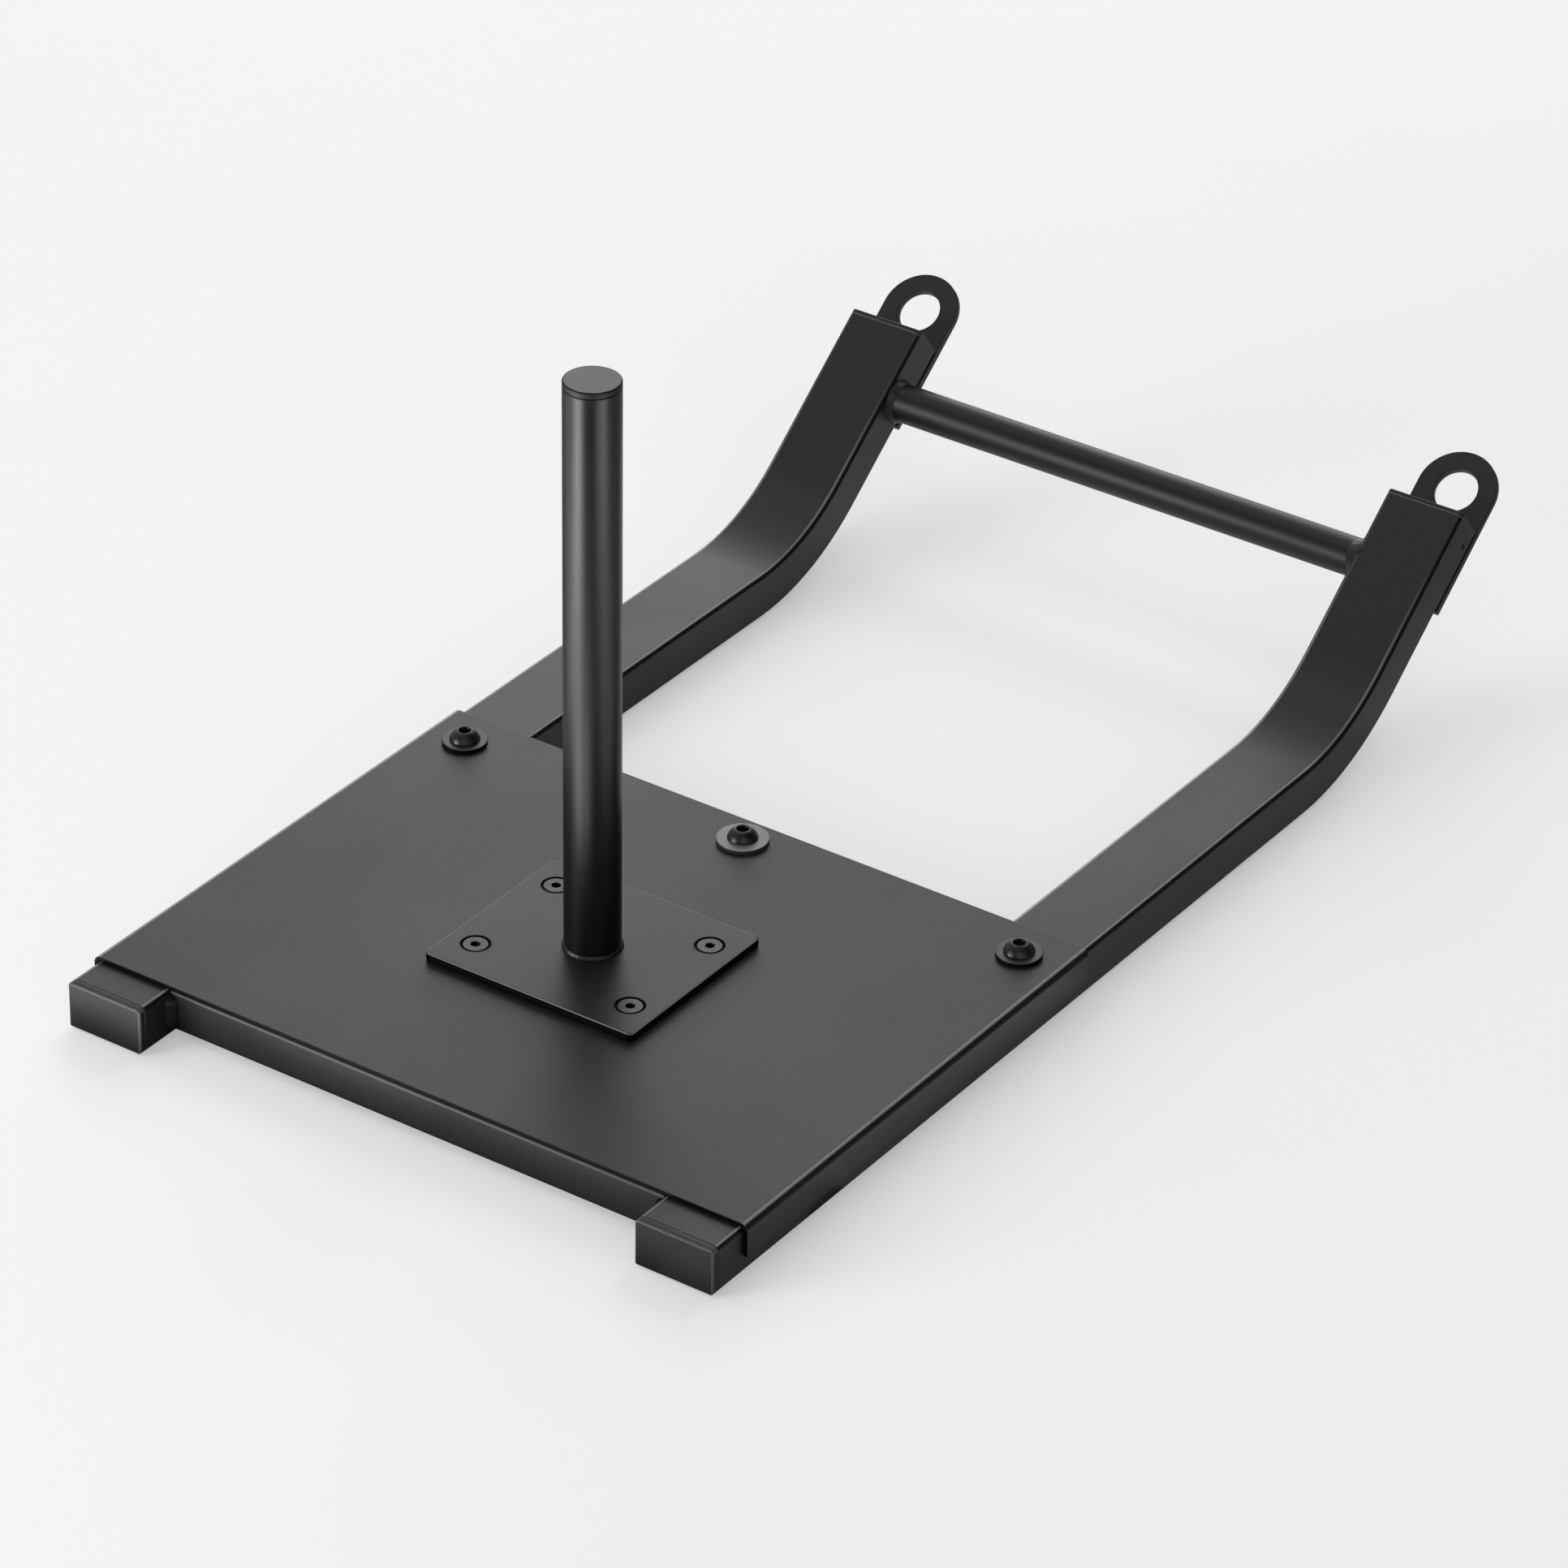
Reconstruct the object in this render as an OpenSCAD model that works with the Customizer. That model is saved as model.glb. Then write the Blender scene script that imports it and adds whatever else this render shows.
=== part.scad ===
// Drag sled with a single weight post, for pulling by a strap.
// Two bent rectangular tubes are the runners. A folded sheet deck lies over them
// and carries a bolted base plate with a vertical post for plates.
// X is across the sled, +Y is the pulling end, +Z is up.
// The ground is Z = 0 and the origin is under the middle of the whole sled.

/* [Runners] */
// Width of the rectangular runner tube
rail_w = 40; // [30:0.5:50]
// Height of the runner tube
rail_h = 23; // [20:0.5:30]
// Wall of the runner tube
rail_wall = 2; // [1.5:0.25:3]
// Outer corner radius of the runner tube
rail_r = 2.5; // [2:0.25:4]
// Distance from the centre line of the sled to the centre of a runner
rail_x = 151; // [120:1:200]
// How far the runner stands out beyond the near edge of the deck
rail_tail = 17; // [12:1:40]
// Distance from the near edge of the deck to the start of the bend
bend_y = 444; // [400:1:520]
// Radius of the bend at the middle of the tube
bend_r = 112; // [90:1:160]
// Angle by which the pulling end is bent up
bend_a = 38.175; // [20:0.025:50]
// Length of the straight piece above the bend, with its closing plate
nose_l = 88; // [80:1:140]
// Thickness of the plate that closes the upper end
close_t = 2.5; // [2:0.5:4]
// Diameter of the drain hole near the upper end
drain_d = 2.5; // [2:0.5:6]

/* [Deck] */
// Depth of the deck along the runners
deck_d = 258; // [230:1:300]
// Thickness of the deck sheet
deck_t = 2; // [1.5:0.25:3]
// Gap between a folded side and the runner
deck_gap = 0.3; // [0.2:0.1:1]
// Outer height of the folded sides
flange_h = 16; // [12:0.5:18]
// Outer radius of the fold
fold_r = 3.5; // [3:0.25:4]

/* [Crossbars] */
// Depth of a crossbar along the sled
bar_d = 30; // [24:1:40]
// Height of a crossbar
bar_h = 20; // [16:0.5:20]
// Wall of a crossbar
bar_wall = 2; // [1.5:0.25:3]

/* [Weight post] */
// Outer diameter of the weight post
post_d = 25.4; // [20:0.1:30]
// Wall of the weight post
post_wall = 2; // [1.5:0.25:3]
// Height of the post's top above the deck
post_h = 282; // [150:1:400]
// Width of the base plate across the sled
plate_w = 111; // [100:1:140]
// Length of the base plate along the sled
plate_l = 96; // [86:1:130]
// Thickness of the base plate
plate_t = 4; // [4:0.5:6]
// Corner radius of the base plate
plate_r = 2.5; // [2:0.5:10]
// Spacing of the four screws across the sled
screw_sx = 83; // [80:1:90]
// Spacing of the four screws along the sled
screw_sy = 59; // [55:1:66]

/* [Pull bar and eyes] */
// Outer diameter of the pull bar
pull_d = 19; // [16:0.5:22]
// Distance of the pull bar from the upper end of the runner
pull_back = 33.5; // [30:0.5:45]
// How far the middle of the pull bar lies below the middle of the runner tube
pull_drop = 1; // [0:0.5:3]
// Thickness of an eye plate
eye_t = 4; // [3:0.5:8]
// Diameter of the hole in an eye plate
eye_bore_d = 21.5; // [12:0.5:24]
// Distance of the hole from the upper end of the runner
eye_out = 17.6; // [14:0.1:24]
// Length of the eye plate that is welded under the runner
eye_lap = 42.5; // [30:0.5:60]

/* [Fasteners] */
// Outer diameter of the two washers over the runners
side_washer_d = 21; // [16:0.5:24]
// Outer diameter of the washer in the middle
mid_washer_d = 24; // [20:0.5:30]
// Thickness of the deck washers
washer_t = 2; // [1:0.5:3]
// Distance from the near edge of the deck to the two screws over the runners
side_screw_y = 236.5; // [210:0.5:245]
// Distance from the near edge of the deck to the screw in the middle
mid_screw_y = 242; // [215:0.5:245]

/* [Hidden] */
$fn = 64;

// Colours
C_DECK = [0.30, 0.31, 0.31];
C_RAIL = [0.20, 0.20, 0.21];
C_WELD = [0.17, 0.17, 0.18];
C_CAP = [0.14, 0.14, 0.14];
C_POST = [0.24, 0.24, 0.25];
C_ZINC = [0.10, 0.10, 0.11];
C_WASH = [0.45, 0.45, 0.46];

// Heights above the ground
rail_z = rail_h/2;
deck_z0 = rail_h;
deck_z1 = rail_h + deck_t;
plate_z1 = deck_z1 + plate_t;
post_top = deck_z1 + post_h;
bar_z0 = rail_h - bar_h;
cap_t = 4;
post_cap_t = 3;
bevel_r = 1.4;
bevel_h = 1.9;
seam = 0.4;
rail_in_x = rail_x - rail_w/2;
rail_out_x = rail_x + rail_w/2;
deck_hw = rail_out_x + deck_gap + deck_t;
post_y = deck_d/2;
nose_tube_l = nose_l - close_t;
eye_rad = rail_w/2;

// Where the bend ends
nose_y = bend_y + bend_r*sin(bend_a);

// The whole sled runs from the end caps to the tips of the eyes
y_min = -rail_tail - cap_t;
y_max = nose_y + (nose_l + eye_out)*cos(bend_a)
      + (rail_h/2 + eye_t)*sin(bend_a) + eye_rad*cos(bend_a);
y0 = -(y_min + y_max)/2;

function arc_pts(cx, cy, r, a0, a1, n) =
    [for (i = [0:n]) let (a = a0 + (a1 - a0)*i/n) [cx + r*cos(a), cy + r*sin(a)]];

// Rectangle with rounded corners, centred
function rrect(w, h, r, n = 6) = concat(
    arc_pts(w/2 - r, h/2 - r, r, 0, 90, n),
    arc_pts(-w/2 + r, h/2 - r, r, 90, 180, n),
    arc_pts(-w/2 + r, -h/2 + r, r, 180, 270, n),
    arc_pts(w/2 - r, -h/2 + r, r, 270, 360, n));

// Places its children on the middle line of the inclined piece:
// q along it from the end of the bend, m square to it (up is positive)
module on_nose(q, m = 0)
    translate([0, bend_y, rail_z + bend_r]) rotate([bend_a, 0, 0])
        translate([0, q, m - bend_r]) children();

// Extrudes a 2D shape along +Y; its Y axis points down
module along_y(l) rotate([-90, 0, 0]) linear_extrude(l) children();

// The run of the tube, its section made smaller by inset on every side,
// from ya on the straight piece to qb on the inclined one
module rail_path(inset, ya, qb) {
    w = rail_w - 2*inset;
    h = rail_h - 2*inset;
    r = max(rail_r - inset, 0.6);
    translate([0, ya, rail_z]) along_y(bend_y - ya) polygon(rrect(w, h, r));
    // bend, cut square where the inclined piece begins
    difference() {
        translate([0, bend_y, rail_z + bend_r]) rotate([0, 90, 0])
            rotate_extrude(angle = bend_a + 5, $fn = 96)
                translate([bend_r, 0]) polygon(rrect(h, w, r));
        on_nose(0) translate([-rail_w, 0, -rail_w]) cube([2*rail_w, 20, 2*rail_w]);
    }
    on_nose(0) along_y(qb) polygon(rrect(w, h, r));
}

module rail(side) {
    translate([side*rail_x, y0, 0]) difference() {
        rail_path(0, -rail_tail, nose_tube_l);
        rail_path(rail_wall, -rail_tail - 5, nose_tube_l + 5);
        // hole for the deck's rivet nut
        translate([0, side_screw_y, rail_h - 5]) cylinder(d = 11.1, h = 10);
        // drain hole in the outer side
        on_nose(nose_l - 10.5, -5) rotate([0, side*90, 0])
            translate([0, 0, rail_w/2 - 5]) cylinder(d = drain_d, h = 10);
    }
}

module rail_end_cap(side) {
    lead = 1.5;
    translate([side*rail_x, y0 - rail_tail, 0]) {
        // head with softened edges
        intersection() {
            translate([0, -cap_t, rail_z]) along_y(cap_t) polygon(rrect(rail_w, rail_h, rail_r));
            // its back edge is set in, so a narrow groove shows at the tube
            linear_extrude(rail_h) polygon(concat(
                [[rail_w/2, -seam], [rail_w/2 - 1, -seam], [rail_w/2 - 1, 0],
                 [-rail_w/2 + 1, 0], [-rail_w/2 + 1, -seam], [-rail_w/2, -seam]],
                arc_pts(-rail_w/2 + lead, -cap_t + lead, lead, 180, 270, 5),
                arc_pts(rail_w/2 - lead, -cap_t + lead, lead, 270, 360, 5)));
            translate([-rail_w/2, 0, 0]) rotate([90, 0, 90]) linear_extrude(rail_w) polygon(concat(
                [[-seam, 0], [-seam, 1], [0, 1], [0, rail_h - 1], [-seam, rail_h - 1], [-seam, rail_h]],
                arc_pts(-cap_t + lead, rail_h - lead, lead, 90, 180, 5),
                arc_pts(-cap_t + lead, lead, lead, 180, 270, 5)));
        }
        // plug with three thin sealing ribs
        translate([0, 0, rail_z]) along_y(14)
            polygon(rrect(rail_w - 2*rail_wall - 2, rail_h - 2*rail_wall - 2, 1, 3));
        for (i = [0:2])
            translate([0, 2.5 + i*4, rail_z]) along_y(1.2)
                polygon(rrect(rail_w - 2*rail_wall - 0.1, rail_h - 2*rail_wall - 0.1, 0.6, 3));
    }
}

// Plate with its inner edge set in, so a narrow groove shows at the tube
module closing_plate(side)
    translate([side*rail_x, y0, 0]) on_nose(nose_tube_l) {
        along_y(close_t) polygon(rrect(rail_w - 1.2, rail_h - 1.2, rail_r - 0.6));
        translate([0, seam, 0]) along_y(close_t - seam) polygon(rrect(rail_w, rail_h, rail_r));
    }

module eye_plate(side)
    translate([side*rail_x, y0, 0]) on_nose(nose_l, -rail_h/2 - eye_t) difference() {
        linear_extrude(eye_t) polygon(concat(
            [[-eye_rad, -eye_lap], [eye_rad, -eye_lap]],
            arc_pts(0, eye_out, eye_rad, 0, 180, 36)));
        translate([0, eye_out, -1]) cylinder(d = eye_bore_d, h = eye_t + 2, $fn = 96);
    }

// Fillet bead of leg a and length l, in the corner of the XY axes, along +Z
module bead(a, l)
    linear_extrude(l) polygon(concat([[0, 0]], [for (i = [0:6]) let (t = i*15)
        [a*cos(t)*(1 - 0.18*sin(2*t)), a*sin(t)*(1 - 0.18*sin(2*t))]]));

module eye_plate_welds()
    color(C_WELD) for (s = [-1, 1])
        translate([s*rail_x, y0, 0]) on_nose(nose_l - eye_lap, -rail_h/2)
            rotate([-90, 0, 0]) translate([-14, 0, 0]) rotate([0, 90, 0])
                bead(3.5, 28);

module crossbar(ya, hole)
    translate([0, y0 + ya, bar_z0]) difference() {
        rotate([90, 0, 90]) translate([0, 0, -rail_in_x]) linear_extrude(2*rail_in_x)
            translate([bar_d/2, bar_h/2]) polygon(rrect(bar_d, bar_h, 2));
        rotate([90, 0, 90]) translate([0, 0, -rail_in_x - 5]) linear_extrude(2*rail_in_x + 10)
            translate([bar_d/2, bar_h/2])
                polygon(rrect(bar_d - 2*bar_wall, bar_h - 2*bar_wall, 0.8, 4));
        if (hole)
            translate([0, mid_screw_y - ya, bar_h - 5]) cylinder(d = 11.1, h = 10);
    }

// Upright fillet beads on both faces of both crossbars, at the runners
module crossbar_welds() {
    a = 4.3;
    zb = bar_z0 + 0.6;
    l = bar_h - 2.5;
    color(C_WELD) translate([0, y0, 0]) for (ya = [0, deck_d - bar_d]) {
        translate([-rail_in_x, ya, zb]) mirror([0, 1, 0]) bead(a, l);
        translate([rail_in_x, ya, zb]) mirror([0, 1, 0]) mirror([1, 0, 0]) bead(a, l);
        translate([-rail_in_x, ya + bar_d, zb]) bead(a, l);
        translate([rail_in_x, ya + bar_d, zb]) mirror([1, 0, 0]) bead(a, l);
    }
}

// Folded sheet, cut square at both ends
module deck_plate()
    color(C_DECK) difference() {
        translate([0, y0 + deck_d, 0]) rotate([90, 0, 0]) linear_extrude(deck_d)
            polygon(concat(
                [[deck_hw, deck_z1 - flange_h]],
                arc_pts(deck_hw - fold_r, deck_z1 - fold_r, fold_r, 0, 90, 8),
                arc_pts(-deck_hw + fold_r, deck_z1 - fold_r, fold_r, 90, 180, 8),
                [[-deck_hw, deck_z1 - flange_h], [-deck_hw + deck_t, deck_z1 - flange_h]],
                arc_pts(-deck_hw + fold_r, deck_z1 - fold_r, fold_r - deck_t, 180, 90, 5),
                arc_pts(deck_hw - fold_r, deck_z1 - fold_r, fold_r - deck_t, 90, 0, 5),
                [[deck_hw - deck_t, deck_z1 - flange_h]]));
        // clearance for the flanges of the rivet nuts
        for (p = deck_points()) translate([p[0], y0 + p[1], deck_z0 - 1])
            cylinder(d = 15, h = deck_t + 2);
        // clearance for the four screws of the post
        for (p = post_points()) translate([p[0], y0 + p[1], deck_z0 - 1])
            cylinder(d = 6.6, h = deck_t + 2);
    }

function deck_points() = [[-rail_x, side_screw_y], [rail_x, side_screw_y], [0, mid_screw_y]];
function post_points() = [for (sx = [-1, 1], sy = [-1, 1])
    [sx*screw_sx/2, post_y + sy*screw_sy/2]];

// Blind rivet nut: thin flange over the tube wall, sleeve and set collar under it
module rivet_nut(x, y)
    translate([x, y0 + y, deck_z0]) rotate_extrude()
        polygon([[4.05, 1.2], [6.9, 1.2], [6.9, 0], [5.5, 0], [5.5, -2],
                 [6.8, -2], [6.8, -5], [5.5, -5.8], [5.5, -13], [4.05, -13]]);

module deck_rivet_nuts()
    color(C_WASH) for (p = deck_points()) rivet_nut(p[0], p[1]);

module washer(d, t, hole) difference() {
    cylinder(d = d, h = t);
    translate([0, 0, -1]) cylinder(d = hole, h = t + 2);
}

module deck_side_washers()
    color(C_WASH) for (s = [-1, 1])
        translate([s*rail_x, y0 + side_screw_y, deck_z1]) washer(side_washer_d, washer_t, 8.4);

module deck_centre_washer()
    color(C_WASH) translate([0, y0 + mid_screw_y, deck_z1]) washer(mid_washer_d, washer_t, 8.4);

// Button head screw, seat at z = 0
module button_screw(l) {
    difference() {
        rotate_extrude() polygon(concat([[0, -l], [3.4, -l], [4, -l + 0.6], [4, 0], [6.9, 0]],
            [for (i = [0:8]) let (t = 19.6 + i*5.45) [7.535*cos(t), -2.125 + 7.535*sin(t)]],
            [[0, 4.6]]));
        translate([0, 0, 2]) cylinder(d = 5/cos(30), h = 5, $fn = 6);
        translate([0, 0, 3.9]) cylinder(d1 = 4.8, d2 = 6.4, h = 0.8);
    }
}

module deck_screws()
    color(C_ZINC) for (p = deck_points())
        translate([p[0], y0 + p[1], deck_z1 + washer_t]) button_screw(16);

module post_base_plate()
    color(C_DECK) difference() {
        translate([0, y0 + post_y, deck_z1]) linear_extrude(plate_t)
            polygon(rrect(plate_w, plate_l, plate_r, 8));
        for (p = post_points()) translate([p[0], y0 + p[1], deck_z1]) {
            translate([0, 0, -1]) cylinder(d = 6.6, h = plate_t + 2);
            translate([0, 0, plate_t - 3.3]) cylinder(d1 = 6.6, d2 = 13.2, h = 3.3);
            // rim of the recess
            translate([0, 0, plate_t - 1.4]) cylinder(d = 13.2, h = 3);
        }
    }

// Tube with its foot bevelled for the weld
module weight_post()
    color(C_POST) translate([0, y0 + post_y, plate_z1]) difference() {
        rotate_extrude($fn = 96) polygon([[0, 0], [post_d/2 - bevel_r, 0], [post_d/2, bevel_h],
            [post_d/2, post_top - post_cap_t - plate_z1], [0, post_top - post_cap_t - plate_z1]]);
        translate([0, 0, -1]) cylinder(d = post_d - 2*post_wall, h = post_top, $fn = 96);
    }

// Bead that fills the bevel and swells out of it
module post_weld()
    color(C_WELD) translate([0, y0 + post_y, plate_z1]) rotate_extrude($fn = 96)
        polygon([[post_d/2 - bevel_r, 0], [post_d/2 + 0.9, 0], [post_d/2 + 0.85, 0.35],
                 [post_d/2 + 0.55, 0.8], [post_d/2 + 0.25, 1.15], [post_d/2 + 0.08, 1.45],
                 [post_d/2, bevel_h]]);

// Plug with a flat top as wide as the post
module post_end_cap() {
    r = post_d/2;
    ri = r - post_wall;
    color(C_CAP) translate([0, y0 + post_y, post_top]) rotate_extrude($fn = 96)
        polygon(concat([[0, 0], [r - 0.6, 0], [r - 0.2, -0.2], [r, -0.6], [r, -post_cap_t + seam],
            [r - 0.5, -post_cap_t], [ri - 1, -post_cap_t]],
            [for (i = [0:2]) each [[ri - 1, -post_cap_t - 2 - i*4], [ri - 0.05, -post_cap_t - 2.4 - i*4],
                [ri - 0.05, -post_cap_t - 3.2 - i*4], [ri - 1, -post_cap_t - 3.8 - i*4]]],
            [[ri - 1, -post_cap_t - 14], [0, -post_cap_t - 14]]));
}

// Countersunk screw, head flush at z = 0
module flush_screw(l) difference() {
    rotate_extrude() polygon([[0, 0], [5.6, 0], [5.85, -0.25], [5.85, -0.68], [3, -3.53],
                              [3, -l + 0.5], [2.5, -l], [0, -l]]);
    translate([0, 0, -2.2]) cylinder(d = 4/cos(30), h = 3, $fn = 6);
}

module post_screws()
    color(C_DECK) for (p = post_points())
        translate([p[0], y0 + p[1], plate_z1 - 0.1]) flush_screw(16);

module post_nut_washers()
    color(C_WASH) for (p = post_points())
        translate([p[0], y0 + p[1], deck_z0 - 1.6]) washer(12, 1.6, 6.4);

module post_nuts()
    color(C_WASH) for (p = post_points())
        translate([p[0], y0 + p[1], deck_z0 - 1.6 - 6]) difference() {
            union() {
                translate([0, 0, 1.8]) cylinder(d = 10/cos(30), h = 4.2, $fn = 6);
                cylinder(d = 9, h = 3);
            }
            translate([0, 0, -1]) cylinder(d = 6.1, h = 8);
        }

module pull_bar()
    color(C_RAIL) translate([0, y0, 0]) on_nose(nose_l - pull_back, -pull_drop) rotate([0, 90, 0]) difference() {
        translate([0, 0, -rail_in_x]) cylinder(d = pull_d, h = 2*rail_in_x);
        translate([0, 0, -rail_in_x - 5]) cylinder(d = pull_d - 3, h = 2*rail_in_x + 10);
    }

// Fillet all round the pull bar, at each runner; it runs up over the rounded
// edge of the tube until it is level with the tube's top
module pull_bar_welds() {
    r = pull_d/2;
    b = rail_h/2 + pull_drop - r - 0.1;
    color(C_WELD) translate([0, y0, 0]) for (s = [-1, 1]) difference() {
        on_nose(nose_l - pull_back, -pull_drop) translate([s*rail_in_x, 0, 0]) rotate([0, -s*90, 0])
            rotate_extrude($fn = 96) polygon([[r, -rail_r - 0.5], [r + b, -rail_r - 0.5], [r + b, 0.4],
                [r + 0.72*b, 1.3], [r + 0.45*b, 2.3], [r + 0.22*b, 3.4], [r + 0.08*b, 4.4], [r, 4.9]]);
        on_nose(nose_l - pull_back - 30) translate([s*rail_x, 0, 0]) along_y(60) polygon(concat(
            [[rail_w/2, 40], [-rail_w/2, 40]],
            arc_pts(-rail_w/2 + rail_r, -rail_h/2 + rail_r, rail_r, 180, 270, 6),
            arc_pts(rail_w/2 - rail_r, -rail_h/2 + rail_r, rail_r, 270, 360, 6)));
    }
}

color(C_RAIL) rail(-1);  // left_rail
color(C_RAIL) rail(1);  // right_rail
color(C_CAP) rail_end_cap(-1);  // left_rail_end_cap
color(C_CAP) rail_end_cap(1);  // right_rail_end_cap
color(C_RAIL) closing_plate(-1);  // left_closing_plate
color(C_RAIL) closing_plate(1);  // right_closing_plate
color(C_RAIL) eye_plate(-1);  // left_eye_plate
color(C_RAIL) eye_plate(1);  // right_eye_plate
eye_plate_welds();
color(C_RAIL) crossbar(0, false);  // near_crossbar
color(C_RAIL) crossbar(deck_d - bar_d, true);  // far_crossbar
crossbar_welds();
deck_plate();
deck_rivet_nuts();
deck_side_washers();
deck_centre_washer();
deck_screws();
post_base_plate();
weight_post();
post_weld();
post_end_cap();
post_screws();
post_nut_washers();
post_nuts();
pull_bar();
pull_bar_welds();
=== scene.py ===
import math

import bmesh
import bpy
from mathutils import Matrix, Vector, noise

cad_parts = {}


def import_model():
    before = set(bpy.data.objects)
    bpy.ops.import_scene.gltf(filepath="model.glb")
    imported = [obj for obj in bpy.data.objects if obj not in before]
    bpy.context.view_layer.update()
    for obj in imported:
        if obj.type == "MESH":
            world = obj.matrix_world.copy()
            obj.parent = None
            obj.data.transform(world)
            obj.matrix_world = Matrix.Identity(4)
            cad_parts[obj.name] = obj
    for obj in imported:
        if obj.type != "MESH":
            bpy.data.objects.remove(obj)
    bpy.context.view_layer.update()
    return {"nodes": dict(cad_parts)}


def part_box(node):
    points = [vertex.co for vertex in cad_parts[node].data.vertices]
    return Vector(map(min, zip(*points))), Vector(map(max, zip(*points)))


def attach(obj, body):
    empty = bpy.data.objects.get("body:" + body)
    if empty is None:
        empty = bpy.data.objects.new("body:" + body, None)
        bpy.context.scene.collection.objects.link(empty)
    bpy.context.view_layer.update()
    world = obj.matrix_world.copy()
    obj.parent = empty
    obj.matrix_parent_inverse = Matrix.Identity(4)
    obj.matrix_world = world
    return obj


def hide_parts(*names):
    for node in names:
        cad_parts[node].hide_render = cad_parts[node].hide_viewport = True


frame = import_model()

nodes = frame["nodes"]
scene = bpy.context.scene

# ------------------------------------------------------------------ camera
# The photograph's viewing angle: azimuth, elevation and roll in degrees, the
# lens for a 36 mm sensor on a square frame, and the distance to the aim line.
AZ, EL, ROLL = 34.456, 31.518, 0.914
LENS, SIDE, UPWARD, DIST = 161.864, 0.156971, 0.127512, 2.971839


def camera():
    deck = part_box("deck_plate")
    a, e, r = (math.radians(v) for v in (AZ, EL, ROLL))
    back = Vector((math.sin(a) * math.cos(e), -math.cos(a) * math.cos(e), math.sin(e)))
    right = Vector((math.cos(a), math.sin(a), 0.0))
    up = back.cross(right)
    r2 = right * math.cos(r) + up * math.sin(r)
    u2 = up * math.cos(r) - right * math.sin(r)
    # aim origin: middle of the deck's near edge, on its top
    where = Vector((0.0, deck[0][1], deck[1][2])) + back * DIST + r2 * SIDE + u2 * UPWARD
    m = Matrix((r2, u2, back)).transposed().to_4x4()
    m.translation = where
    data = bpy.data.cameras.new("camera")
    data.lens = LENS
    data.sensor_width = 36.0
    data.sensor_fit = "AUTO"
    data.clip_start = 0.05
    data.clip_end = 60.0
    cam = bpy.data.objects.new("camera", data)
    scene.collection.objects.link(cam)
    cam.matrix_world = m
    scene.camera = cam


camera()


# --------------------------------------------------------------- node helpers
class Tree:
    """A thin layer over a node tree: n() adds a node and joins its inputs."""

    def __init__(self, tree):
        self.t = tree
        tree.nodes.clear()

    def n(self, kind, ins=None, **props):
        node = self.t.nodes.new(kind)
        for k, v in props.items():
            setattr(node, k, v)
        for k, v in (ins or {}).items():
            self.put(node.inputs[k], v)
        return node

    def put(self, socket, v):
        if isinstance(v, bpy.types.NodeSocket):
            self.t.links.new(v, socket)
        elif isinstance(v, bpy.types.Node):
            self.t.links.new(v.outputs[0], socket)
        else:
            socket.default_value = v

    def math(self, op, a, b=0.0, clamp=False):
        return self.n("ShaderNodeMath", {0: a, 1: b}, operation=op, use_clamp=clamp).outputs[0]

    def vmath(self, op, a, b=(0.0, 0.0, 0.0)):
        node = self.n("ShaderNodeVectorMath", {0: a, 1: b}, operation=op)
        return node.outputs["Value"] if op in ("DOT_PRODUCT", "LENGTH", "DISTANCE") else node.outputs[0]

    def range(self, v, a, b, lo, hi, smooth=False):
        return self.n(
            "ShaderNodeMapRange",
            {"Value": v, "From Min": a, "From Max": b, "To Min": lo, "To Max": hi},
            interpolation_type="SMOOTHSTEP" if smooth else "LINEAR",
            clamp=True,
        ).outputs[0]

    def noise(self, vec, scale, detail=2.0, rough=0.5, distortion=0.0):
        return self.n(
            "ShaderNodeTexNoise",
            {"Vector": vec, "Scale": scale, "Detail": detail, "Roughness": rough, "Distortion": distortion},
        ).outputs["Fac"]

    def mix(self, f, a, b):
        node = self.n("ShaderNodeMix", data_type="RGBA")
        self.put(node.inputs[0], f)
        self.put(node.inputs[6], a)
        self.put(node.inputs[7], b)
        return node.outputs[2]


def rgb(v, tint=(1.0, 1.0, 1.0)):
    return (v * tint[0], v * tint[1], v * tint[2], 1.0)


def new_material(name):
    mat = bpy.data.materials.new(name)
    mat.use_nodes = True
    return mat, Tree(mat.node_tree)


def coordinates(t):
    """The row frame's metres; the same on every piece."""
    return t.n("ShaderNodeTexCoord").outputs["Object"]


def edge_mask(t, radius, lo, hi, samples=6):
    """1 on a convex or concave edge within radius, 0 on the open face; also the rounded normal."""
    rounded = t.n("ShaderNodeBevel", {"Radius": radius}, samples=samples).outputs[0]
    flat = t.n("ShaderNodeNewGeometry").outputs["Normal"]
    d = t.vmath("DOT_PRODUCT", rounded, flat)
    return t.range(t.math("SUBTRACT", 1.0, d), lo, hi, 0.0, 1.0, smooth=True), rounded


def finish_material(t, colour, rough, normal, spec=0.5, coat=0.0, coat_rough=0.3, metal=0.0, sheen=0.0):
    b = t.n("ShaderNodeBsdfPrincipled")
    t.put(b.inputs["Base Color"], colour)
    t.put(b.inputs["Roughness"], rough)
    t.put(b.inputs["Normal"], normal)
    t.put(b.inputs["Specular IOR Level"], spec)
    b.inputs["Metallic"].default_value = metal
    b.inputs["Coat Weight"].default_value = coat
    b.inputs["Coat Roughness"].default_value = coat_rough
    b.inputs["Sheen Weight"].default_value = sheen
    t.n("ShaderNodeOutputMaterial", {"Surface": b.outputs[0]})
    return b


def uprightness(t):
    """1 on a wall, 0 on a flat or sloping face."""
    z = t.n("ShaderNodeSeparateXYZ", {0: t.n("ShaderNodeNewGeometry").outputs["Normal"]}).outputs["Z"]
    return t.range(t.math("ABSOLUTE", z), 0.45, 0.75, 1.0, 0.0, smooth=True)


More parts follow.
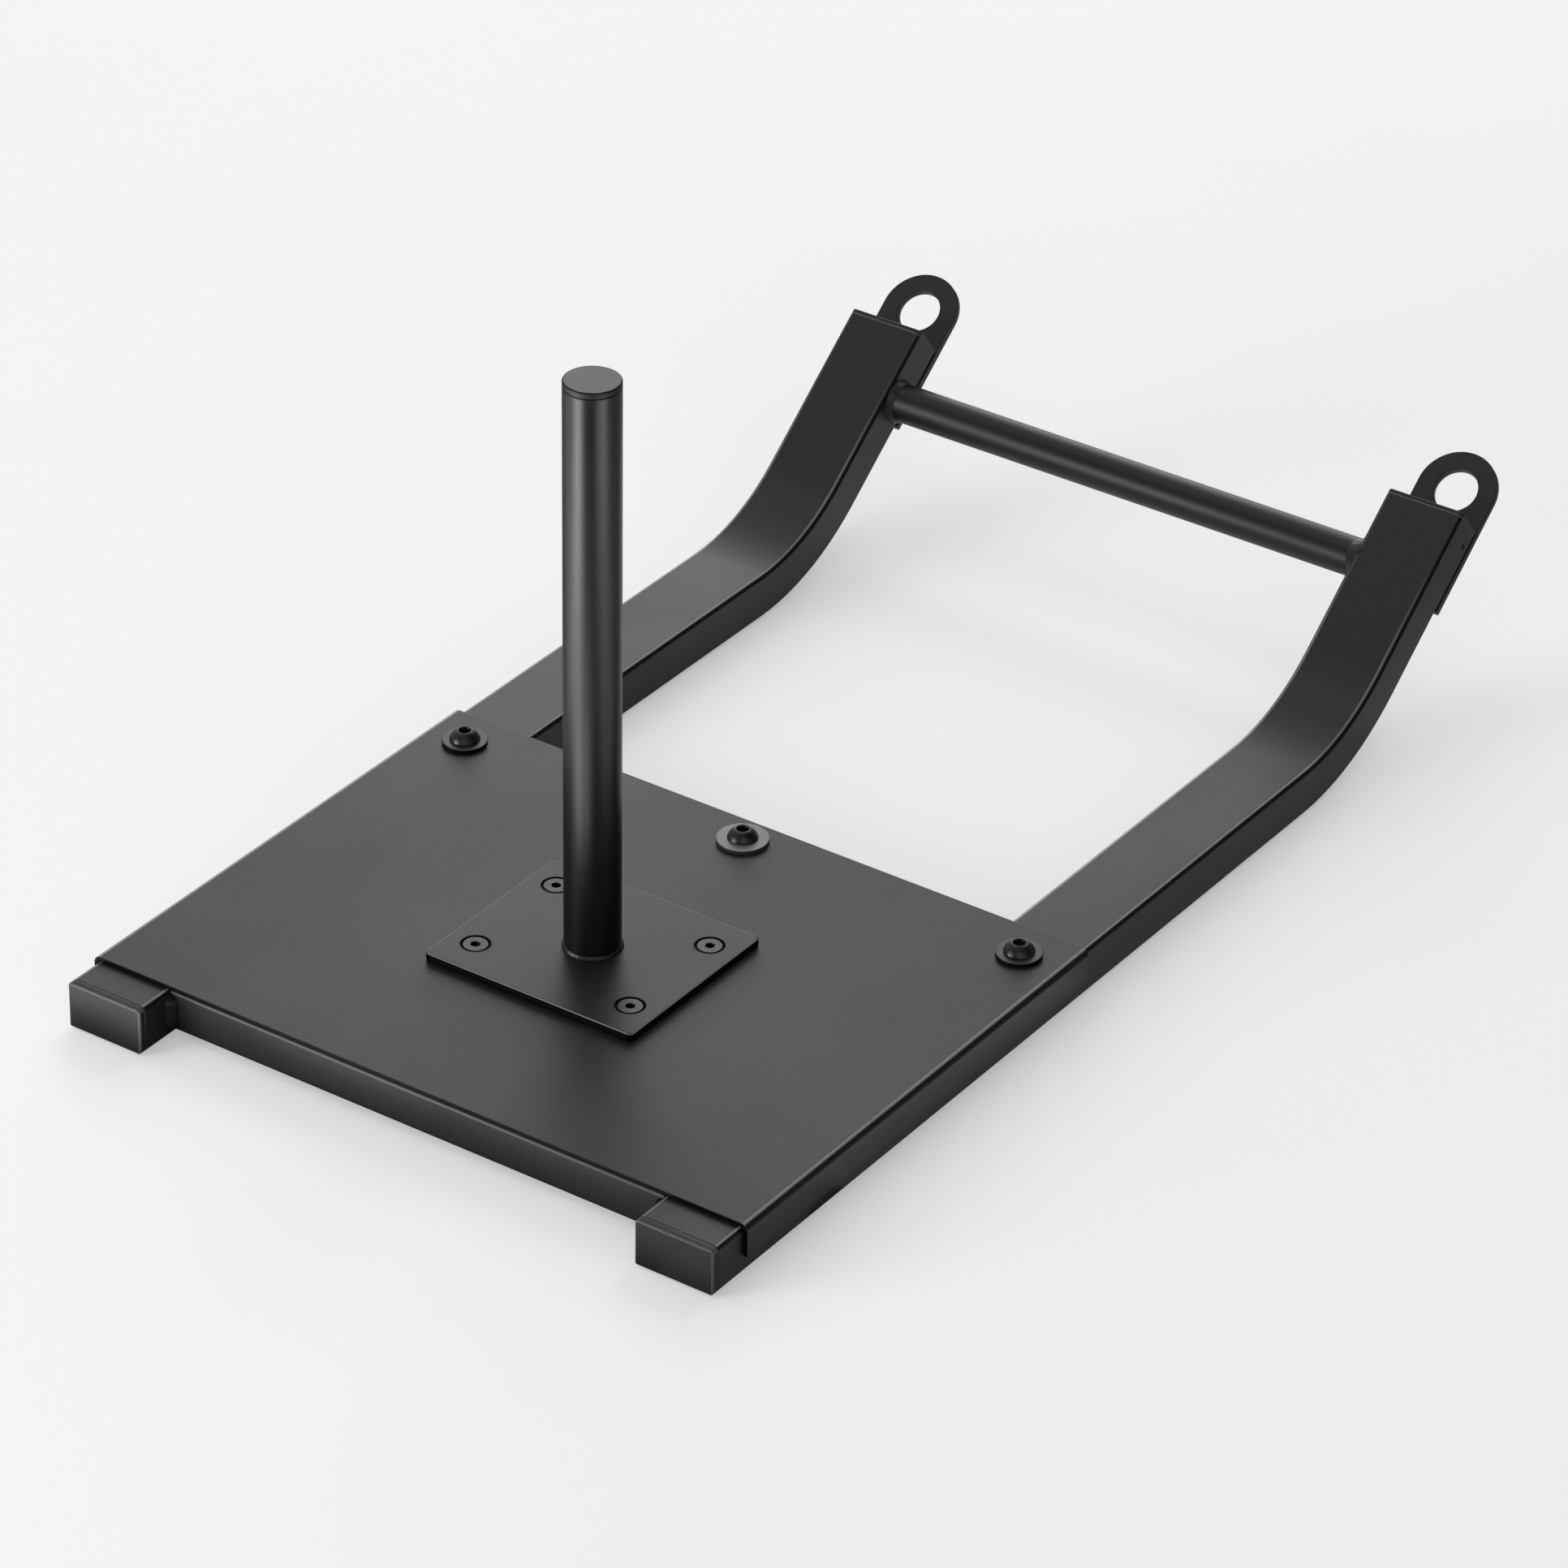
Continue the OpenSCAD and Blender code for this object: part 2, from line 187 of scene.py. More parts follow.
def axis_share(t, axis):
    """How far a face looks along one axis, 0 to 1."""
    n = t.n("ShaderNodeSeparateXYZ", {0: t.n("ShaderNodeNewGeometry").outputs["Normal"]}).outputs[axis]
    return t.math("ABSOLUTE", n)


def roundness(t):
    """1 on a rounded corner, 0 on a face that looks along one of the axes."""
    n = t.n("ShaderNodeSeparateXYZ", {0: t.n("ShaderNodeNewGeometry").outputs["Normal"]})
    x, y, z = (t.math("ABSOLUTE", n.outputs[a]) for a in ("X", "Y", "Z"))
    return t.range(t.math("MAXIMUM", t.math("MAXIMUM", x, y), z), 0.93, 0.985, 1.0, 0.0, smooth=True)


def from_screws(t, p):
    """Distance to the nearest of the base plate's four screws, seen from above."""
    lo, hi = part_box("post_base_plate")
    a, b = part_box("post_screws")
    mid = ((lo[0] + hi[0]) / 2, (lo[1] + hi[1]) / 2)
    out = (b[0] - mid[0] - SCREW_HEAD, b[1] - mid[1] - SCREW_HEAD)
    xyz = t.n("ShaderNodeSeparateXYZ", {0: p})
    x = t.math("SUBTRACT", t.math("ABSOLUTE", t.math("SUBTRACT", xyz.outputs["X"], mid[0])), out[0])
    y = t.math("SUBTRACT", t.math("ABSOLUTE", t.math("SUBTRACT", xyz.outputs["Y"], mid[1])), out[1])
    return t.math("SQRT", t.math("ADD", t.math("MULTIPLY", x, x), t.math("MULTIPLY", y, y)))


# radius of the countersunk heads, metres
SCREW_HEAD = 0.006


def powder_coat(name, base, rough, spec=0.5, peel=1.0, edge=0.5, tint=(1.0, 1.0, 1.02), shaded_walls=None,
                corner_highlight=False, across="X", edge_highlight_base=None, sink_shade_rings=False):
    """Satin powder coat: fine orange peel, faint clouds in gloss, paler and smoother on its edges; the paler edges
    are partly wear and partly a painted highlight, and edge_highlight_base, where given, is the colour of a
    stronger painted highlight.
    shaded_walls: painted shade: upright faces are painted darker and made duller than the flat of the sheet;
    "z" means every upright face, "y" only those that look along y.
    rolled: a painted highlight: on rounded lengthwise corners the upper side is painted paler in this tone and made
    glossier, more so low down, and the corners are made duller below;
    across is the axis across the piece, and a piece that lies along X isn't dull below.
    rings: painted shade: the plate is painted darker in rings round the base plate's screws, where the countersinks
    lie in shade, and its paler edges, a painted highlight, are kept to upward rims away from the screws."""
    mat, t = new_material(name)
    p = coordinates(t)
    cloud = t.noise(p, 9.0, 3.0, 0.55)
    peel_a = t.noise(p, 520.0, 2.0, 0.5)
    peel_b = t.noise(p, 1900.0, 2.0, 0.6)
    grit = t.noise(p, 4200.0, 1.0, 0.5)
    mask, rounded = edge_mask(t, 0.0006, 0.012, 0.16)
    height = t.math("ADD", t.math("MULTIPLY", peel_a, 0.62), t.math("MULTIPLY", peel_b, 0.38))
    normal = t.n(
        "ShaderNodeBump", {"Strength": 0.32 * peel, "Distance": 0.00006, "Height": height, "Normal": rounded}
    ).outputs[0]
    fleck = t.range(grit, 0.60, 0.72, 0.0, 1.0, smooth=True)
    shade = t.math("ADD", t.range(cloud, 0.3, 0.7, -0.06, 0.06), t.math("MULTIPLY", fleck, 0.22))
    shade = t.math("ADD", shade, t.range(peel_a, 0.3, 0.7, -0.05, 0.05))
    shade = t.math("ADD", 1.0, shade)
    # painted shade: upright faces (or only those looking along y) are painted darker and made duller
    if shaded_walls:
        shaded_wall = uprightness(t) if shaded_walls == "z" else t.range(axis_share(t, "Y"), 0.5, 0.8, 0.0, 1.0, smooth=True)
        shade = t.math("MULTIPLY", shade, t.math("SUBTRACT", 1.0, t.math("MULTIPLY", shaded_wall, 0.75)))
        spec = t.math("SUBTRACT", spec, t.math("MULTIPLY", shaded_wall, 0.8 * spec))
        if shaded_walls == "y":
            mask = t.math("MULTIPLY", mask, t.math("SUBTRACT", 1.0, shaded_wall))
    # painted shade: darker rings round the screws where the countersinks lie in shade; the paler edges, a painted
    # highlight, kept to upward rims
    if sink_shade_rings:
        upper = t.n("ShaderNodeSeparateXYZ", {0: t.n("ShaderNodeNewGeometry").outputs["Normal"]}).outputs["Z"]
        mask = t.math("MULTIPLY", t.math("MAXIMUM", mask, roundness(t)), t.range(upper, 0.15, 0.40, 0.0, 1.0))
        near = from_screws(t, p)
        sink = t.range(near, 0.0067, 0.0075, 1.0, 0.0, smooth=True)
        shade = t.math("MULTIPLY", shade, t.math("SUBTRACT", 1.0, t.math("MULTIPLY", sink, 0.8)))
        spec = t.math("MULTIPLY", spec, t.math("SUBTRACT", 1.0, t.math("MULTIPLY", sink, 0.85)))
        mask = t.math("MULTIPLY", mask, t.range(near, 0.0080, 0.0090, 0.0, 1.0))
    if corner_highlight:
        side = axis_share(t, across)
        thin = t.math("MULTIPLY", t.range(side, 0.58, 0.72, 0.0, 1.0, smooth=True),
                      t.range(side, 0.970, 0.995, 1.0, 0.0, smooth=True))
        if across == "X":
            spec = t.math("MULTIPLY", spec, t.math("SUBTRACT", 1.0, t.math("MULTIPLY", thin, 0.75)))
    # paler edges: partly wear, partly a painted highlight; edge_highlight_base paints a stronger highlight
    plain = t.n("ShaderNodeVectorMath", {0: tuple(base * c for c in tint)}, operation="SCALE")
    t.put(plain.inputs["Scale"], shade)
    colour = t.mix(t.math("MULTIPLY", mask, edge), plain.outputs[0],
                   rgb(edge_highlight_base if edge_highlight_base else base * 2.6 + 0.012, tint))
    # painted highlight: the upper side of rounded lengthwise corners is painted paler and made glossier, more so
    # low down
    if corner_highlight:
        painted_highlight = t.math("MULTIPLY", t.range(side, 0.06, 0.20, 0.0, 1.0, smooth=True),
                     t.range(side, 0.46, 0.62, 1.0, 0.0, smooth=True))
        painted_highlight = t.math("MULTIPLY", painted_highlight, t.range(cloud, 0.3, 0.7, 0.85, 1.0))
        height_up = t.n("ShaderNodeSeparateXYZ", {0: p}).outputs["Z"]
        painted_highlight = t.math("MULTIPLY", painted_highlight, t.range(height_up, 0.035, 0.085, 1.0, 0.12, smooth=True))
        above = t.n("ShaderNodeSeparateXYZ", {0: t.n("ShaderNodeNewGeometry").outputs["Normal"]}).outputs["Z"]
        painted_highlight = t.math("MULTIPLY", painted_highlight, t.range(above, 0.0, 0.3, 0.0, 1.0))
        colour = t.mix(painted_highlight, colour, rgb(corner_highlight, tint))
        rough = t.math("SUBTRACT", rough, t.math("MULTIPLY", painted_highlight, 0.20))
    r = t.math("ADD", rough, t.range(cloud, 0.3, 0.7, -0.025, 0.025))
    r = t.math("ADD", r, t.range(peel_b, 0.3, 0.7, -0.03, 0.03))
    r = t.math("SUBTRACT", r, t.math("MULTIPLY", mask, 0.05), clamp=True)
    finish_material(t, colour, r, normal, spec)
    return mat


def weld_coat(name, base, rough, spec=0.5):
    """The same paint where it has flowed over a weld: fine peel, darker and rougher in the hollows."""
    mat, t = new_material(name)
    p = coordinates(t)
    lumps = t.noise(p, 620.0, 3.0, 0.6)
    peel = t.noise(p, 1700.0, 2.0, 0.6)
    mask, rounded = edge_mask(t, 0.0003, 0.02, 0.25)
    normal = t.n(
        "ShaderNodeBump", {"Strength": 0.3, "Distance": 0.00006, "Height": peel, "Normal": rounded}
    ).outputs[0]
    colour = t.mix(t.range(lumps, 0.35, 0.65, 0.0, 1.0), rgb(base * 0.6), rgb(base * 1.25))
    r = t.math("ADD", rough, t.range(lumps, 0.3, 0.7, 0.05, -0.05))
    finish_material(t, colour, r, normal, spec)
    return mat


def moulded_plastic(name, base, rough, spec=0.45, grain=1.0, edge=0.6):
    """Moulded polyethylene: a fine spark-eroded grain; its edges and rounded corners are painted paler, a painted
    highlight.
    """
    mat, t = new_material(name)
    p = coordinates(t)
    cloud = t.noise(p, 35.0, 3.0, 0.6)
    cells = t.n("ShaderNodeTexVoronoi", {"Vector": p, "Scale": 1500.0}, feature="SMOOTH_F1").outputs["Distance"]
    fine = t.noise(p, 2600.0, 3.0, 0.65)
    mask, rounded = edge_mask(t, 0.0007, 0.01, 0.14)
    # painted highlight: edges and rounded corners painted paler
    mask = t.math("MAXIMUM", mask, t.math("MULTIPLY", roundness(t), 0.20))
    height = t.math("ADD", t.math("MULTIPLY", cells, 0.6), t.math("MULTIPLY", fine, 0.5))
    normal = t.n(
        "ShaderNodeBump", {"Strength": 0.45 * grain, "Distance": 0.00008, "Height": height, "Normal": rounded}
    ).outputs[0]
    shade = t.math("ADD", t.range(cloud, 0.3, 0.7, 0.93, 1.07), t.range(fine, 0.35, 0.65, -0.07, 0.07))
    plain = t.n("ShaderNodeVectorMath", {0: (base, base, base * 1.02)}, operation="SCALE")
    t.put(plain.inputs["Scale"], shade)
    colour = t.mix(t.math("MULTIPLY", mask, edge), plain.outputs[0], rgb(base * 2.2 + 0.36))
    r = t.math("ADD", rough, t.range(cloud, 0.3, 0.7, -0.03, 0.03))
    r = t.math("ADD", r, t.range(fine, 0.3, 0.7, -0.04, 0.04), clamp=True)
    finish_material(t, colour, r, normal, spec)
    return mat


def capped_plug(name, top, shaded_wall, rough, spec=0.5):
    """Moulded plug with fine grain: painted light and shade, with the flat top painted paler, the rounded rim and
    walls painted dark, and the rim less glossy.
    """
    mat, t = new_material(name)
    p = coordinates(t)
    cloud = t.noise(p, 60.0, 3.0, 0.6)
    fine = t.noise(p, 2600.0, 3.0, 0.65)
    z = t.n("ShaderNodeSeparateXYZ", {0: t.n("ShaderNodeNewGeometry").outputs["Normal"]}).outputs["Z"]
    flat = t.range(z, 0.97, 0.998, 0.0, 1.0, smooth=True)
    rim = t.math("MULTIPLY", t.range(z, 0.15, 0.45, 0.0, 1.0, smooth=True), t.math("SUBTRACT", 1.0, flat))
    normal = t.n("ShaderNodeBump", {"Strength": 0.35, "Distance": 0.00007, "Height": fine}).outputs[0]
    shade = t.math("ADD", t.range(cloud, 0.3, 0.7, 0.93, 1.07), t.range(fine, 0.35, 0.65, -0.07, 0.07))
    # painted light and shade: the flat top takes the pale tone, the rim and walls the dark one
    amount = t.math("MULTIPLY", shade, t.math("ADD", shaded_wall, t.math("MULTIPLY", flat, top - shaded_wall)))
    colour = t.n("ShaderNodeCombineColor", {0: amount, 1: amount, 2: amount}).outputs[0]
    r = t.math("ADD", rough, t.range(cloud, 0.3, 0.7, -0.03, 0.03))
    gloss = t.math("SUBTRACT", spec, t.math("MULTIPLY", rim, 0.85 * spec))
    finish_material(t, colour, r, normal, gloss)
    return mat


def black_oxide(name, base, rough, spec=0.5, sink_shade_rings=False):
    """Blackened screw steel, slightly oily, brighter on the rims where it has rubbed.
    rings: painted shade: the outermost part of the countersunk heads is made darker, with less specular and without
    the brighter rim."""
    mat, t = new_material(name)
    p = coordinates(t)
    cloud = t.noise(p, 420.0, 3.0, 0.6)
    fine = t.noise(p, 2600.0, 2.0, 0.6)
    mask, rounded = edge_mask(t, 0.00035, 0.02, 0.2)
    normal = t.n(
        "ShaderNodeBump", {"Strength": 0.22, "Distance": 0.00004, "Height": fine, "Normal": rounded}
    ).outputs[0]
    plain = t.n("ShaderNodeVectorMath", {0: (base, base, base * 1.04)}, operation="SCALE")
    t.put(plain.inputs["Scale"], t.range(cloud, 0.3, 0.7, 0.85, 1.15))
    # painted shade round the outer edge of the countersunk heads
    if sink_shade_rings:
        rim = t.range(from_screws(t, p), 0.0053, 0.0058, 0.0, 1.0, smooth=True)
        spec = t.math("SUBTRACT", spec, t.math("MULTIPLY", rim, 0.9 * spec))
        mask = t.math("MULTIPLY", mask, t.math("SUBTRACT", 1.0, rim))
    colour = t.mix(t.math("MULTIPLY", mask, 0.55), plain.outputs[0], rgb(base * 3.0 + 0.02))
    r = t.math("ADD", rough, t.range(cloud, 0.3, 0.7, -0.06, 0.06))
    finish_material(t, colour, r, normal, spec)
    return mat


def zinc(name):
    """Zinc-plated steel with fine turned lines and a faint cloudy lustre."""
    mat, t = new_material(name)
    p = coordinates(t)
    cloud = t.noise(p, 260.0, 3.0, 0.6)
    squeezed = t.n("ShaderNodeMapping", {"Vector": p, "Scale": (1.0, 1.0, 9.0)}).outputs[0]
    lines = t.noise(squeezed, 900.0, 2.0, 0.6)
    mask, rounded = edge_mask(t, 0.0003, 0.02, 0.2)
    normal = t.n(
        "ShaderNodeBump", {"Strength": 0.2, "Distance": 0.00003, "Height": lines, "Normal": rounded}
    ).outputs[0]
    colour = t.mix(t.range(cloud, 0.3, 0.7, 0.0, 1.0), (0.50, 0.52, 0.55, 1), (0.62, 0.62, 0.60, 1))
    r = t.math("ADD", 0.30, t.range(lines, 0.3, 0.7, -0.06, 0.08))
    finish_material(t, colour, r, normal, 0.5, metal=1.0)
    return mat


# ------------------------------------------------------------------ materials
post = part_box("weight_post")
foot = ((post[0][0] + post[1][0]) / 2, (post[0][1] + post[1][1]) / 2, 0.0)
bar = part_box("pull_bar")
bar_mid = (0.0, (bar[0][1] + bar[1][1]) / 2, (bar[0][2] + bar[1][2]) / 2)

M = {
    "frame": powder_coat("frame_paint", 0.0065, 0.43, 0.5),
    "runner": powder_coat("runner_paint", 0.0065, 0.43, 0.5, corner_highlight=0.20),
    "crossbar": powder_coat("crossbar_paint", 0.0065, 0.43, 0.5, corner_highlight=0.30, across="Y"),
    # edge_highlight_base paints a highlight on the edges of the closing plates and the base plate
    "closing": powder_coat("closing_plate_paint", 0.0065, 0.43, 0.5, edge=0.9, edge_highlight_base=0.38),
    "bar": powder_coat("pull_bar_paint", 0.0065, 0.43, 0.40, tint=(1.06, 1.0, 0.97)),
    "deck": powder_coat("deck_paint", 0.0085, 0.46, 0.5, peel=0.9, shaded_walls="y", corner_highlight=0.20),
    "plate": powder_coat("base_plate_paint", 0.0085, 0.44, 0.5, peel=0.9, edge=0.9, shaded_walls="z",
                         edge_highlight_base=0.48, sink_shade_rings=True),
    "post": powder_coat("post_paint", 0.0025, 0.33, 0.5, peel=0.8),
    "washer": powder_coat("washer_paint", 0.016, 0.40, 0.5, peel=0.6, edge=0.9, shaded_walls="z"),
    "mid_washer": powder_coat("middle_washer_paint", 0.145, 0.40, 0.8, peel=0.6, edge=0.9, shaded_walls="z"),
    "cap": moulded_plastic("rail_cap_plastic", 0.007, 0.48, 0.36, edge=0.9),
    "plug": capped_plug("post_plug_plastic", 0.060, 0.0045, 0.45),
    "screw": black_oxide("screw_black", 0.0045, 0.34),
    "sunk_screw": black_oxide("countersunk_screw_black", 0.0045, 0.34, sink_shade_rings=True),
    "zinc": zinc("zinc_steel"),
    "foot_weld": weld_coat("post_weld_paint", 0.0065, 0.36),
    "bar_weld": weld_coat("bar_weld_paint", 0.0065, 0.40),
    # painted shade: the crossbar welds sit in the inner corners and take a darker, duller copy of the frame paint
    "upright_weld": weld_coat("crossbar_weld_shaded_paint", 0.0022, 0.50, 0.16),
    "eye_weld": weld_coat("eye_weld_paint", 0.0065, 0.42),
}
WEARS = {
    "left_rail": "runner", "right_rail": "runner",
    "left_rail_end_cap": "cap", "right_rail_end_cap": "cap",
    "left_closing_plate": "closing", "right_closing_plate": "closing",
    "left_eye_plate": "frame", "right_eye_plate": "frame",
    "eye_plate_welds": "eye_weld", "crossbar_welds": "upright_weld",
    "near_crossbar": "crossbar", "far_crossbar": "crossbar",
    "deck_plate": "deck", "deck_rivet_nuts": "zinc",
    "deck_side_washers": "washer", "deck_centre_washer": "mid_washer",
    "deck_screws": "screw", "post_base_plate": "plate",
    "weight_post": "post", "post_weld": "foot_weld", "post_end_cap": "plug",
    "post_screws": "sunk_screw", "post_nut_washers": "zinc", "post_nuts": "zinc",
    "pull_bar": "bar", "pull_bar_welds": "bar_weld",
}


# Radius in metres of each node's softened edges
EDGES = {
    "left_rail": 0.00015, "right_rail": 0.00015,
    "left_rail_end_cap": 0.00015, "right_rail_end_cap": 0.00015,
    "left_closing_plate": 0.00012, "right_closing_plate": 0.00012,
    "left_eye_plate": 0.0005, "right_eye_plate": 0.0005,
    "near_crossbar": 0.0003, "far_crossbar": 0.00015,
    "deck_plate": 0.0002, "deck_side_washers": 0.00035, "deck_centre_washer": 0.00035,
    "deck_screws": 0.00012, "deck_rivet_nuts": 0.0002,
    "post_base_plate": 0.0008, "weight_post": 0.0002, "post_screws": 0.00015,
    "post_nut_washers": 0.0003, "post_nuts": 0.00012,
}


def dress(obj, mat, edge=None):
    """Gives a CAD node its material, softened edges, and shading that is smooth round bends."""
    obj.data.materials.clear()
    obj.data.materials.append(mat)
    for poly in obj.data.polygons:
        poly.use_smooth = True
    if "custom_normal" in obj.data.attributes:
        obj.data.attributes.remove(obj.data.attributes["custom_normal"])
    weld = obj.modifiers.new("join_faces", "WELD")
    weld.merge_threshold = 1e-6
    if edge:
        plain = obj.modifiers.new("one_face_per_plane", "DECIMATE")
        plain.decimate_type = "DISSOLVE"
        plain.angle_limit = math.radians(0.6)
        soft = obj.modifiers.new("soft_edges", "BEVEL")
        soft.width = edge
        soft.segments = 2
        soft.use_clamp_overlap = False
        if obj.name == "post_base_plate":
            # only the outer rim: the screws' recesses stay sharp
            lo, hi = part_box(obj.name)
            mid = ((lo[0] + hi[0]) / 2, (lo[1] + hi[1]) / 2)
            rim = obj.vertex_groups.new(name="rim")
            rim.add([v.index for v in obj.data.vertices
                     if abs(v.co.x - mid[0]) > 0.0505 or abs(v.co.y - mid[1]) > 0.0425], 1.0, "REPLACE")
            soft.limit_method = "VGROUP"
            soft.vertex_group = "rim"
        else:
            soft.limit_method = "ANGLE"
            soft.angle_limit = math.radians(34)
    split = obj.modifiers.new("sharp_edges", "EDGE_SPLIT")
    split.split_angle = math.radians(40 if edge else 28)
    split.use_edge_sharp = False
    normal = obj.modifiers.new("flat_faces", "WEIGHTED_NORMAL")
    normal.mode = "FACE_AREA"
    normal.weight = 100
    normal.keep_sharp = False


for name, obj in nodes.items():
    dress(obj, M[WEARS[name]], EDGES.get(name))


# ------------------------------------------------------------------ weld beads
# The CAD's beads are plain fillets; these stand for them with rows of ripples,
# uneven legs and rounded ends, all as geometry.
def bead(name, node, line, legs, inner, mat, closed, power=1.6, pitch=0.0019, ripple=0.00020, seed=0.0, swell=None,
         uneven=0.16):
    """line: points along the corner with the two directions that the legs lie in."""
    rows = 10
    n = len(line)
    steps = [(line[(i + 1) % n][0] - line[i][0]).length for i in range(n if closed else n - 1)]
    run = [0.0]
    for d in steps:
        run.append(run[-1] + d)
    total = run[-1]
    count = max(1, round(total / pitch))
    verts, faces = [], []
    for i, (c, a, b) in enumerate(line):
        s = run[i]
        la = legs[0] * (1 + uneven * noise.noise(c * 150 + Vector((seed, 0, 0))))
        lb = legs[1] * (1 + uneven * noise.noise(c * 150 + Vector((0, seed + 5, 0))))
        if swell:
            k = swell(i / n)
            la, lb = la * k[0], lb * k[1]
        end = 1.0
        if not closed:
            e = min(1.0, min(s, total - s) / 0.0032)
            end = math.sqrt(max(0.0, 1 - (1 - e) ** 2)) * 0.86 + 0.14
        out = (a + b).normalized()
        ring = [p for p in inner(c, a, b, la * end)]
        for j in range(rows + 1):
            v = j / rows * math.pi / 2
            f, g = math.cos(v) ** power, math.sin(v) ** power
            bend = 0.55 * math.sin(2 * v)
            jolt = 0.35 * noise.noise(c * 420 + Vector((seed, 9, 0)))
            phase = math.pi * (s / total * count + bend + jolt)
            wave = abs(math.sin(phase)) ** 0.75 - 0.55
            lump = 0.5 * noise.noise((c + out * 0.002 * j / rows) * 700 + Vector((0, 0, seed)))
            h = ripple * (wave + lump) * math.sin(2 * v) ** 0.55 if 0 < j < rows else 0.0
            ring.append(c + a * (la * f * end) + b * (lb * g * end) + out * (h * end))
        verts += ring
    w = len(ring)
    for i in range(n if closed else n - 1):
        p, q = i * w, ((i + 1) % n) * w
        faces += [(p + j, p + (j + 1) % w, q + (j + 1) % w, q + j) for j in range(w)]
    if not closed:
        faces += [tuple(range(w - 1, -1, -1)), tuple((n - 1) * w + j for j in range(w))]
    mesh = bpy.data.meshes.new(name)
    mesh.from_pydata([tuple(v) for v in verts], [], faces)
    mesh.validate()
    bm = bmesh.new()
    bm.from_mesh(mesh)
    bmesh.ops.recalc_face_normals(bm, faces=bm.faces)
    bm.to_mesh(mesh)
    bm.free()
    for poly in mesh.polygons:
        poly.use_smooth = True
    obj = bpy.data.objects.new(name, mesh)
    scene.collection.objects.link(obj)
    mesh.materials.append(mat)
    split = obj.modifiers.new("sharp_edges", "EDGE_SPLIT")
    split.split_angle = math.radians(55)
    split.use_edge_sharp = False
    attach(obj, "root")
    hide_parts(node)
    return obj


def straight(start, end, a, b, step=0.00019):
    start, end, a, b = Vector(start), Vector(end), Vector(a).normalized(), Vector(b).normalized()
    n = int((end - start).length / step) + 1
    return [(start.lerp(end, i / (n - 1)), a, b) for i in range(n)]


def circle(centre, radius, one, two, b, step=0.00019):
    """Corner line round a tube of this radius; the first leg points away from its middle."""
    one, two, b = Vector(one), Vector(two), Vector(b)
    n = int(2 * math.pi * radius / step)
    out = []
    for i in range(n):
        t = 2 * math.pi * i / n
        d = one * math.cos(t) + two * math.sin(t)
        out.append((Vector(centre) + d * radius, d, b))
    return out


def beads():
    sink = 0.0003
    corner = lambda c, a, b, la: [c - (a + b) * sink]
    # foot of the post: the bead also fills the tube's bevelled end
    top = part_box("post_base_plate")[1][2]
    r = (post[1][0] - post[0][0]) / 2
    bead("weld_post_foot", "post_weld", circle((foot[0], foot[1], top), r, (1, 0, 0), (0, 1, 0), (0, 0, 1)),
         (0.00095, 0.0018), lambda c, a, b, la: [c - a * 0.0014 - b * 0.0001], M["foot_weld"], True,
         power=1.35, pitch=0.0020, ripple=0.00009, seed=3.0)
    # both ends of the pull bar; the bead runs over the tube's rounded edge
    r = (bar[1][1] - bar[0][1]) / 2
    for side, word in ((-1, "left"), (1, "right")):
        x = side * bar[1][0]
        up = Vector((0, -0.52, 0.85)).normalized()
        heavy = -1 if side < 0 else 1

        def swell(f, heavy=heavy):
            d = Vector((0, math.cos(2 * math.pi * f), math.sin(2 * math.pi * f)))
            k = max(0.0, d.dot(up) * heavy) ** 2
            return 0.55 + 0.57 * k, 0.75 + 0.45 * k

        bead("weld_bar_" + word, "pull_bar_welds",
             circle((x, bar_mid[1], bar_mid[2]), r, (0, 1, 0), (0, 0, 1), (-side, 0, 0)), (0.0025, 0.0048),
             lambda c, a, b, la: [c - a * sink, c - a * sink - b * 0.0019, c + a * (la + 0.00035) - b * 0.0024,
                                  c + a * (la + 0.00030) - b * 0.0013, c + a * (la + 0.00016) - b * 0.0005],
             M["bar_weld"], True, power=2.1, pitch=0.0024, ripple=0.00014, seed=11.0 * side, swell=swell)
    # upright beads at both ends of both crossbars
    number = 0
    for node in ("near_crossbar", "far_crossbar"):
        lo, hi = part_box(node)
        for side in (-1, 1):
            for y, d in ((lo[1], -1), (hi[1], 1)):
                number += 1
                x = hi[0] if side > 0 else lo[0]
                bead("weld_crossbar_%d" % number, "crossbar_welds",
                     straight((x, y, lo[2] + 0.0007), (x, y, hi[2] - 0.0020), (-side, 0, 0), (0, d, 0)),
                     (0.0042, 0.0042), corner, M["upright_weld"], False, power=1.5, pitch=0.0022,
                     ripple=0.00007, seed=2.3 * number, uneven=0.06)
    # across the lower end of each eye plate
    turn = math.radians(BEND)
    along, out = Vector((0, math.cos(turn), math.sin(turn))), Vector((0, math.sin(turn), -math.cos(turn)))
    for node, word in (("left_eye_plate", "left"), ("right_eye_plate", "right")):
        lo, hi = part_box(node)
        # the plate's lower end on the runner's underside
        c = Vector(((lo[0] + hi[0]) / 2, lo[1], lo[2] + EYE_PLATE * math.cos(turn)))
        half = Vector((0.0150, 0, 0))
        bead("weld_eye_" + word, "eye_plate_welds", straight(c - half, c + half, -along, out),
             (0.0035, 0.0033), corner, M["eye_weld"], False, power=1.5, pitch=0.0021, ripple=0.00022,
             seed=17.0 + lo[0])


# angle of the bent-up ends and thickness of the eye plates, as in the CAD
BEND, EYE_PLATE = 38.175, 0.004
beads()


# ------------------------------------------------------------------ the stage
FLOOR_LIFT = 0.36
FLOOR_BOUNCE = 0.40


